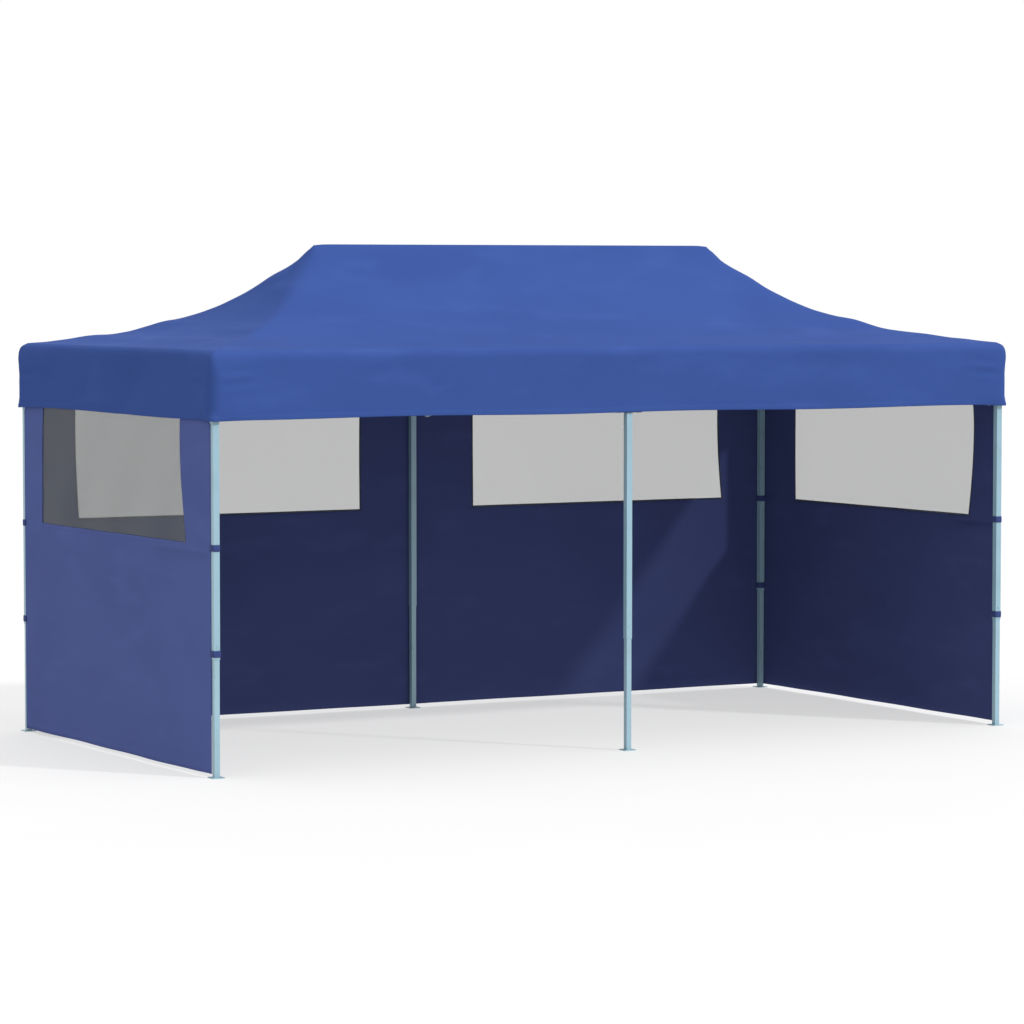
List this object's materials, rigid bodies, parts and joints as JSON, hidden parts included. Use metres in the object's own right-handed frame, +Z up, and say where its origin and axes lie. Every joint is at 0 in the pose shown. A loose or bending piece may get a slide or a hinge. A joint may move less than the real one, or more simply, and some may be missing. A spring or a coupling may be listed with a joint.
{
  "type": "folding gazebo",
  "caption": "Rectangular folding gazebo with telescopic legs, a scissor truss frame, a blue hip canopy, side walls with clear windows and an open front.",
  "frame": {"origin": "on the ground at the centre of the six legs' rectangle", "axes": "+X along the gazebo, -Y towards its open front, +Z up"},
  "size_m": [5.92, 3, 3.25],
  "materials": {
    "roof_fabric": "satin coated polyester, royal blue",
    "wall_fabric": "coated polyester, darker blue",
    "clear_sheet": "clear flexible sheet",
    "leg_paint": "pale hammered enamel",
    "lower_leg_paint": "pale hammered enamel",
    "bar_paint": "pale grey enamel",
    "plastic": "moulded nylon, dark grey"
  },
  "bodies": {
    "leg_back_mid": {"leg_back_mid": "leg_paint", "canopy": "roof_fabric", "back_left_wall": "wall_fabric", "back_right_wall": "wall_fabric", "windows": "clear_sheet"},
    "back_left_near_top_bar": {"back_left_near_top_bar": "bar_paint"},
    "back_left_near_slider_bar": {"back_left_near_slider_bar": "bar_paint"},
    "back_left_far_top_bar": {"back_left_far_top_bar": "bar_paint"},
    "back_left_far_slider_bar": {"back_left_far_slider_bar": "bar_paint"},
    "leg_back_left": {"leg_back_left": "leg_paint", "left_wall": "wall_fabric"},
    "slider_back_left": {"slider_back_left": "plastic"},
    "slider_back_mid": {"slider_back_mid": "plastic"},
    "left_low_node": {"left_low_node": "plastic"},
    "left_high_node": {"left_high_node": "plastic"},
    "left_rising_arm": {"left_rising_arm": "bar_paint"},
    "left_falling_arm": {"left_falling_arm": "bar_paint"},
    "left_peak_pole": {"left_peak_pole": "bar_paint"},
    "left_lower_hub": {"left_lower_hub": "plastic"},
    "back_right_near_top_bar": {"back_right_near_top_bar": "bar_paint"},
    "back_right_near_slider_bar": {"back_right_near_slider_bar": "bar_paint"},
    "back_right_far_top_bar": {"back_right_far_top_bar": "bar_paint"},
    "back_right_far_slider_bar": {"back_right_far_slider_bar": "bar_paint"},
    "leg_back_right": {"leg_back_right": "leg_paint", "right_wall": "wall_fabric"},
    "slider_back_right": {"slider_back_right": "plastic"},
    "right_low_node": {"right_low_node": "plastic"},
    "right_high_node": {"right_high_node": "plastic"},
    "right_rising_arm": {"right_rising_arm": "bar_paint"},
    "right_falling_arm": {"right_falling_arm": "bar_paint"},
    "right_peak_pole": {"right_peak_pole": "bar_paint"},
    "right_lower_hub": {"right_lower_hub": "plastic"},
    "left_near_top_bar": {"left_near_top_bar": "bar_paint"},
    "left_near_slider_bar": {"left_near_slider_bar": "bar_paint"},
    "left_far_top_bar": {"left_far_top_bar": "bar_paint"},
    "left_far_slider_bar": {"left_far_slider_bar": "bar_paint"},
    "leg_front_left": {"leg_front_left": "leg_paint"},
    "slider_front_left": {"slider_front_left": "plastic"},
    "right_near_top_bar": {"right_near_top_bar": "bar_paint"},
    "right_near_slider_bar": {"right_near_slider_bar": "bar_paint"},
    "right_far_top_bar": {"right_far_top_bar": "bar_paint"},
    "right_far_slider_bar": {"right_far_slider_bar": "bar_paint"},
    "leg_front_right": {"leg_front_right": "leg_paint"},
    "slider_front_right": {"slider_front_right": "plastic"},
    "front_left_near_top_bar": {"front_left_near_top_bar": "bar_paint"},
    "front_left_near_slider_bar": {"front_left_near_slider_bar": "bar_paint"},
    "front_left_far_top_bar": {"front_left_far_top_bar": "bar_paint"},
    "front_left_far_slider_bar": {"front_left_far_slider_bar": "bar_paint"},
    "leg_front_mid": {"leg_front_mid": "leg_paint"},
    "slider_front_mid": {"slider_front_mid": "plastic"},
    "front_right_near_top_bar": {"front_right_near_top_bar": "bar_paint"},
    "front_right_near_slider_bar": {"front_right_near_slider_bar": "bar_paint"},
    "front_right_far_top_bar": {"front_right_far_top_bar": "bar_paint"},
    "front_right_far_slider_bar": {"front_right_far_slider_bar": "bar_paint"},
    "lower_leg_back_mid": {"lower_leg_back_mid": "lower_leg_paint"},
    "lower_leg_back_left": {"lower_leg_back_left": "lower_leg_paint"},
    "lower_leg_back_right": {"lower_leg_back_right": "lower_leg_paint"},
    "lower_leg_front_left": {"lower_leg_front_left": "lower_leg_paint"},
    "lower_leg_front_right": {"lower_leg_front_right": "lower_leg_paint"},
    "lower_leg_front_mid": {"lower_leg_front_mid": "lower_leg_paint"}
  },
  "joints": [
    {"name": "fold", "type": "hinge", "parent": "leg_back_mid", "child": "back_left_near_top_bar", "pos_m": [-0.08, 1.46, 2.5], "axis": [0, -1, 0], "range_deg": [0, 71.75], "deforming": ["canopy", "back_left_wall", "back_right_wall", "left_wall", "right_wall", "windows"]},
    {"name": "back_left_near_slider_bar_pivot", "type": "hinge", "parent": "back_left_near_top_bar", "child": "back_left_near_slider_bar", "pos_m": [-0.77, 1.46, 2.3425], "axis": [0, -1, 0], "range_deg": [-143.5, 0]},
    {"name": "back_left_far_top_bar_pivot", "type": "hinge", "parent": "back_left_near_top_bar", "child": "back_left_far_top_bar", "pos_m": [-1.46, 1.46, 2.185], "axis": [0, -1, 0], "range_deg": [-143.5, 0]},
    {"name": "back_left_far_slider_bar_pivot", "type": "hinge", "parent": "back_left_far_top_bar", "child": "back_left_far_slider_bar", "pos_m": [-2.15, 1.46, 2.3425], "axis": [0, -1, 0], "range_deg": [0, 143.5]},
    {"name": "leg_back_left_pivot", "type": "hinge", "parent": "back_left_far_top_bar", "child": "leg_back_left", "pos_m": [-2.84, 1.46, 2.5], "axis": [0, -1, 0], "range_deg": [0, 71.75]},
    {"name": "slider_back_left_pivot", "type": "hinge", "parent": "back_left_far_slider_bar", "child": "slider_back_left", "pos_m": [-2.84, 1.46, 2.185], "axis": [0, -1, 0], "range_deg": [-71.75, 0]},
    {"name": "slider_back_mid_pivot", "type": "hinge", "parent": "back_left_near_slider_bar", "child": "slider_back_mid", "pos_m": [-0.08, 1.46, 2.185], "axis": [0, -1, 0], "range_deg": [0, 71.75]},
    {"name": "left_low_node_pivot", "type": "hinge", "parent": "back_left_near_top_bar", "child": "left_low_node", "pos_m": [-1.46, 1.46, 2.185], "axis": [0, -1, 0], "range_deg": [-71.75, 0]},
    {"name": "left_high_node_pivot", "type": "hinge", "parent": "back_left_near_slider_bar", "child": "left_high_node", "pos_m": [-1.46, 1.46, 2.5], "axis": [0, -1, 0], "range_deg": [0, 71.75]},
    {"name": "left_rising_arm_pivot", "type": "hinge", "parent": "left_low_node", "child": "left_rising_arm", "pos_m": [-1.46, 1.414, 2.185], "axis": [1, 0, 0], "range_deg": [-71.75, 0]},
    {"name": "left_falling_arm_pivot", "type": "hinge", "parent": "left_rising_arm", "child": "left_falling_arm", "pos_m": [-1.46, 0.724, 2.3425], "axis": [1, 0, 0], "range_deg": [0, 143.5]},
    {"name": "left_peak_pole_pivot", "type": "hinge", "parent": "left_rising_arm", "child": "left_peak_pole", "pos_m": [-1.46, 0.034, 2.5], "axis": [1, 0, 0], "range_deg": [0, 71.75]},
    {"name": "left_lower_hub_pivot", "type": "hinge", "parent": "left_falling_arm", "child": "left_lower_hub", "pos_m": [-1.46, 0.034, 2.185], "axis": [1, 0, 0], "range_deg": [-71.75, 0]},
    {"name": "back_right_near_top_bar_pivot", "type": "hinge", "parent": "leg_back_mid", "child": "back_right_near_top_bar", "pos_m": [0.08, 1.46, 2.5], "axis": [0, 1, 0], "range_deg": [0, 71.75]},
    {"name": "back_right_near_slider_bar_pivot", "type": "hinge", "parent": "back_right_near_top_bar", "child": "back_right_near_slider_bar", "pos_m": [0.77, 1.46, 2.3425], "axis": [0, 1, 0], "range_deg": [-143.5, 0]},
    {"name": "back_right_far_top_bar_pivot", "type": "hinge", "parent": "back_right_near_top_bar", "child": "back_right_far_top_bar", "pos_m": [1.46, 1.46, 2.185], "axis": [0, 1, 0], "range_deg": [-143.5, 0]},
    {"name": "back_right_far_slider_bar_pivot", "type": "hinge", "parent": "back_right_far_top_bar", "child": "back_right_far_slider_bar", "pos_m": [2.15, 1.46, 2.3425], "axis": [0, 1, 0], "range_deg": [0, 143.5]},
    {"name": "leg_back_right_pivot", "type": "hinge", "parent": "back_right_far_top_bar", "child": "leg_back_right", "pos_m": [2.84, 1.46, 2.5], "axis": [0, 1, 0], "range_deg": [0, 71.75]},
    {"name": "slider_back_right_pivot", "type": "hinge", "parent": "back_right_far_slider_bar", "child": "slider_back_right", "pos_m": [2.84, 1.46, 2.185], "axis": [0, 1, 0], "range_deg": [-71.75, 0]},
    {"name": "right_low_node_pivot", "type": "hinge", "parent": "back_right_near_top_bar", "child": "right_low_node", "pos_m": [1.46, 1.46, 2.185], "axis": [0, 1, 0], "range_deg": [-71.75, 0]},
    {"name": "right_high_node_pivot", "type": "hinge", "parent": "back_right_near_slider_bar", "child": "right_high_node", "pos_m": [1.46, 1.46, 2.5], "axis": [0, 1, 0], "range_deg": [0, 71.75]},
    {"name": "right_rising_arm_pivot", "type": "hinge", "parent": "right_low_node", "child": "right_rising_arm", "pos_m": [1.46, 1.414, 2.185], "axis": [1, 0, 0], "range_deg": [-71.75, 0]},
    {"name": "right_falling_arm_pivot", "type": "hinge", "parent": "right_rising_arm", "child": "right_falling_arm", "pos_m": [1.46, 0.724, 2.3425], "axis": [1, 0, 0], "range_deg": [0, 143.5]},
    {"name": "right_peak_pole_pivot", "type": "hinge", "parent": "right_rising_arm", "child": "right_peak_pole", "pos_m": [1.46, 0.034, 2.5], "axis": [1, 0, 0], "range_deg": [0, 71.75]},
    {"name": "right_lower_hub_pivot", "type": "hinge", "parent": "right_falling_arm", "child": "right_lower_hub", "pos_m": [1.46, 0.034, 2.185], "axis": [1, 0, 0], "range_deg": [-71.75, 0]},
    {"name": "left_near_top_bar_pivot", "type": "hinge", "parent": "leg_back_left", "child": "left_near_top_bar", "pos_m": [-2.92, 1.38, 2.5], "axis": [1, 0, 0], "range_deg": [0, 71.75]},
    {"name": "left_near_slider_bar_pivot", "type": "hinge", "parent": "left_near_top_bar", "child": "left_near_slider_bar", "pos_m": [-2.92, 0.69, 2.3425], "axis": [1, 0, 0], "range_deg": [-143.5, 0]},
    {"name": "left_far_top_bar_pivot", "type": "hinge", "parent": "left_near_top_bar", "child": "left_far_top_bar", "pos_m": [-2.92, 0, 2.185], "axis": [1, 0, 0], "range_deg": [-143.5, 0]},
    {"name": "left_far_slider_bar_pivot", "type": "hinge", "parent": "left_far_top_bar", "child": "left_far_slider_bar", "pos_m": [-2.92, -0.69, 2.3425], "axis": [1, 0, 0], "range_deg": [0, 143.5]},
    {"name": "leg_front_left_pivot", "type": "hinge", "parent": "left_far_top_bar", "child": "leg_front_left", "pos_m": [-2.92, -1.38, 2.5], "axis": [1, 0, 0], "range_deg": [0, 71.75]},
    {"name": "slider_front_left_pivot", "type": "hinge", "parent": "left_far_slider_bar", "child": "slider_front_left", "pos_m": [-2.92, -1.38, 2.185], "axis": [1, 0, 0], "range_deg": [-71.75, 0]},
    {"name": "right_near_top_bar_pivot", "type": "hinge", "parent": "leg_back_right", "child": "right_near_top_bar", "pos_m": [2.92, 1.38, 2.5], "axis": [1, 0, 0], "range_deg": [0, 71.75]},
    {"name": "right_near_slider_bar_pivot", "type": "hinge", "parent": "right_near_top_bar", "child": "right_near_slider_bar", "pos_m": [2.92, 0.69, 2.3425], "axis": [1, 0, 0], "range_deg": [-143.5, 0]},
    {"name": "right_far_top_bar_pivot", "type": "hinge", "parent": "right_near_top_bar", "child": "right_far_top_bar", "pos_m": [2.92, 0, 2.185], "axis": [1, 0, 0], "range_deg": [-143.5, 0]},
    {"name": "right_far_slider_bar_pivot", "type": "hinge", "parent": "right_far_top_bar", "child": "right_far_slider_bar", "pos_m": [2.92, -0.69, 2.3425], "axis": [1, 0, 0], "range_deg": [0, 143.5]},
    {"name": "leg_front_right_pivot", "type": "hinge", "parent": "right_far_top_bar", "child": "leg_front_right", "pos_m": [2.92, -1.38, 2.5], "axis": [1, 0, 0], "range_deg": [0, 71.75]},
    {"name": "slider_front_right_pivot", "type": "hinge", "parent": "right_far_slider_bar", "child": "slider_front_right", "pos_m": [2.92, -1.38, 2.185], "axis": [1, 0, 0], "range_deg": [-71.75, 0]},
    {"name": "front_left_near_top_bar_pivot", "type": "hinge", "parent": "leg_front_left", "child": "front_left_near_top_bar", "pos_m": [-2.84, -1.46, 2.5], "axis": [0, 1, 0], "range_deg": [0, 71.75]},
    {"name": "front_left_near_slider_bar_pivot", "type": "hinge", "parent": "front_left_near_top_bar", "child": "front_left_near_slider_bar", "pos_m": [-2.15, -1.46, 2.3425], "axis": [0, 1, 0], "range_deg": [-143.5, 0]},
    {"name": "front_left_far_top_bar_pivot", "type": "hinge", "parent": "front_left_near_top_bar", "child": "front_left_far_top_bar", "pos_m": [-1.46, -1.46, 2.185], "axis": [0, 1, 0], "range_deg": [-143.5, 0]},
    {"name": "front_left_far_slider_bar_pivot", "type": "hinge", "parent": "front_left_far_top_bar", "child": "front_left_far_slider_bar", "pos_m": [-0.77, -1.46, 2.3425], "axis": [0, 1, 0], "range_deg": [0, 143.5]},
    {"name": "leg_front_mid_pivot", "type": "hinge", "parent": "front_left_far_top_bar", "child": "leg_front_mid", "pos_m": [-0.08, -1.46, 2.5], "axis": [0, 1, 0], "range_deg": [0, 71.75]},
    {"name": "slider_front_mid_pivot", "type": "hinge", "parent": "front_left_far_slider_bar", "child": "slider_front_mid", "pos_m": [-0.08, -1.46, 2.185], "axis": [0, 1, 0], "range_deg": [-71.75, 0]},
    {"name": "front_right_near_top_bar_pivot", "type": "hinge", "parent": "leg_front_right", "child": "front_right_near_top_bar", "pos_m": [2.84, -1.46, 2.5], "axis": [0, -1, 0], "range_deg": [0, 71.75]},
    {"name": "front_right_near_slider_bar_pivot", "type": "hinge", "parent": "front_right_near_top_bar", "child": "front_right_near_slider_bar", "pos_m": [2.15, -1.46, 2.3425], "axis": [0, -1, 0], "range_deg": [-143.5, 0]},
    {"name": "front_right_far_top_bar_pivot", "type": "hinge", "parent": "front_right_near_top_bar", "child": "front_right_far_top_bar", "pos_m": [1.46, -1.46, 2.185], "axis": [0, -1, 0], "range_deg": [-143.5, 0]},
    {"name": "front_right_far_slider_bar_pivot", "type": "hinge", "parent": "front_right_far_top_bar", "child": "front_right_far_slider_bar", "pos_m": [0.77, -1.46, 2.3425], "axis": [0, -1, 0], "range_deg": [0, 143.5]},
    {"name": "lower_leg_back_mid_slide", "type": "slide", "parent": "leg_back_mid", "child": "lower_leg_back_mid", "axis": [0, 0, 1], "range_m": [0, 0.66]},
    {"name": "lower_leg_back_left_slide", "type": "slide", "parent": "leg_back_left", "child": "lower_leg_back_left", "axis": [0, 0, 1], "range_m": [0, 0.66]},
    {"name": "lower_leg_back_right_slide", "type": "slide", "parent": "leg_back_right", "child": "lower_leg_back_right", "axis": [0, 0, 1], "range_m": [0, 0.66]},
    {"name": "lower_leg_front_left_slide", "type": "slide", "parent": "leg_front_left", "child": "lower_leg_front_left", "axis": [0, 0, 1], "range_m": [0, 0.66]},
    {"name": "lower_leg_front_right_slide", "type": "slide", "parent": "leg_front_right", "child": "lower_leg_front_right", "axis": [0, 0, 1], "range_m": [0, 0.66]},
    {"name": "lower_leg_front_mid_slide", "type": "slide", "parent": "leg_front_mid", "child": "lower_leg_front_mid", "axis": [0, 0, 1], "range_m": [0, 0.66]}
  ],
  "couplings": [
    {"joint": "back_left_near_slider_bar_pivot", "follows": "fold", "ratio": -2},
    {"joint": "back_left_far_top_bar_pivot", "follows": "fold", "ratio": -2},
    {"joint": "back_left_far_slider_bar_pivot", "follows": "fold", "ratio": 2},
    {"joint": "leg_back_left_pivot", "follows": "fold", "ratio": 1},
    {"joint": "slider_back_left_pivot", "follows": "fold", "ratio": -1},
    {"joint": "slider_back_mid_pivot", "follows": "fold", "ratio": 1},
    {"joint": "left_low_node_pivot", "follows": "fold", "ratio": -1},
    {"joint": "left_high_node_pivot", "follows": "fold", "ratio": 1},
    {"joint": "left_rising_arm_pivot", "follows": "fold", "ratio": -1},
    {"joint": "left_falling_arm_pivot", "follows": "fold", "ratio": 2},
    {"joint": "left_peak_pole_pivot", "follows": "fold", "ratio": 1},
    {"joint": "left_lower_hub_pivot", "follows": "fold", "ratio": -1},
    {"joint": "back_right_near_top_bar_pivot", "follows": "fold", "ratio": 1},
    {"joint": "back_right_near_slider_bar_pivot", "follows": "fold", "ratio": -2},
    {"joint": "back_right_far_top_bar_pivot", "follows": "fold", "ratio": -2},
    {"joint": "back_right_far_slider_bar_pivot", "follows": "fold", "ratio": 2},
    {"joint": "leg_back_right_pivot", "follows": "fold", "ratio": 1},
    {"joint": "slider_back_right_pivot", "follows": "fold", "ratio": -1},
    {"joint": "right_low_node_pivot", "follows": "fold", "ratio": -1},
    {"joint": "right_high_node_pivot", "follows": "fold", "ratio": 1},
    {"joint": "right_rising_arm_pivot", "follows": "fold", "ratio": -1},
    {"joint": "right_falling_arm_pivot", "follows": "fold", "ratio": 2},
    {"joint": "right_peak_pole_pivot", "follows": "fold", "ratio": 1},
    {"joint": "right_lower_hub_pivot", "follows": "fold", "ratio": -1},
    {"joint": "left_near_top_bar_pivot", "follows": "fold", "ratio": 1},
    {"joint": "left_near_slider_bar_pivot", "follows": "fold", "ratio": -2},
    {"joint": "left_far_top_bar_pivot", "follows": "fold", "ratio": -2},
    {"joint": "left_far_slider_bar_pivot", "follows": "fold", "ratio": 2},
    {"joint": "leg_front_left_pivot", "follows": "fold", "ratio": 1},
    {"joint": "slider_front_left_pivot", "follows": "fold", "ratio": -1},
    {"joint": "right_near_top_bar_pivot", "follows": "fold", "ratio": 1},
    {"joint": "right_near_slider_bar_pivot", "follows": "fold", "ratio": -2},
    {"joint": "right_far_top_bar_pivot", "follows": "fold", "ratio": -2},
    {"joint": "right_far_slider_bar_pivot", "follows": "fold", "ratio": 2},
    {"joint": "leg_front_right_pivot", "follows": "fold", "ratio": 1},
    {"joint": "slider_front_right_pivot", "follows": "fold", "ratio": -1},
    {"joint": "front_left_near_top_bar_pivot", "follows": "fold", "ratio": 1},
    {"joint": "front_left_near_slider_bar_pivot", "follows": "fold", "ratio": -2},
    {"joint": "front_left_far_top_bar_pivot", "follows": "fold", "ratio": -2},
    {"joint": "front_left_far_slider_bar_pivot", "follows": "fold", "ratio": 2},
    {"joint": "leg_front_mid_pivot", "follows": "fold", "ratio": 1},
    {"joint": "slider_front_mid_pivot", "follows": "fold", "ratio": -1},
    {"joint": "front_right_near_top_bar_pivot", "follows": "fold", "ratio": 1},
    {"joint": "front_right_near_slider_bar_pivot", "follows": "fold", "ratio": -2},
    {"joint": "front_right_far_top_bar_pivot", "follows": "fold", "ratio": -2},
    {"joint": "front_right_far_slider_bar_pivot", "follows": "fold", "ratio": 2}
  ]
}
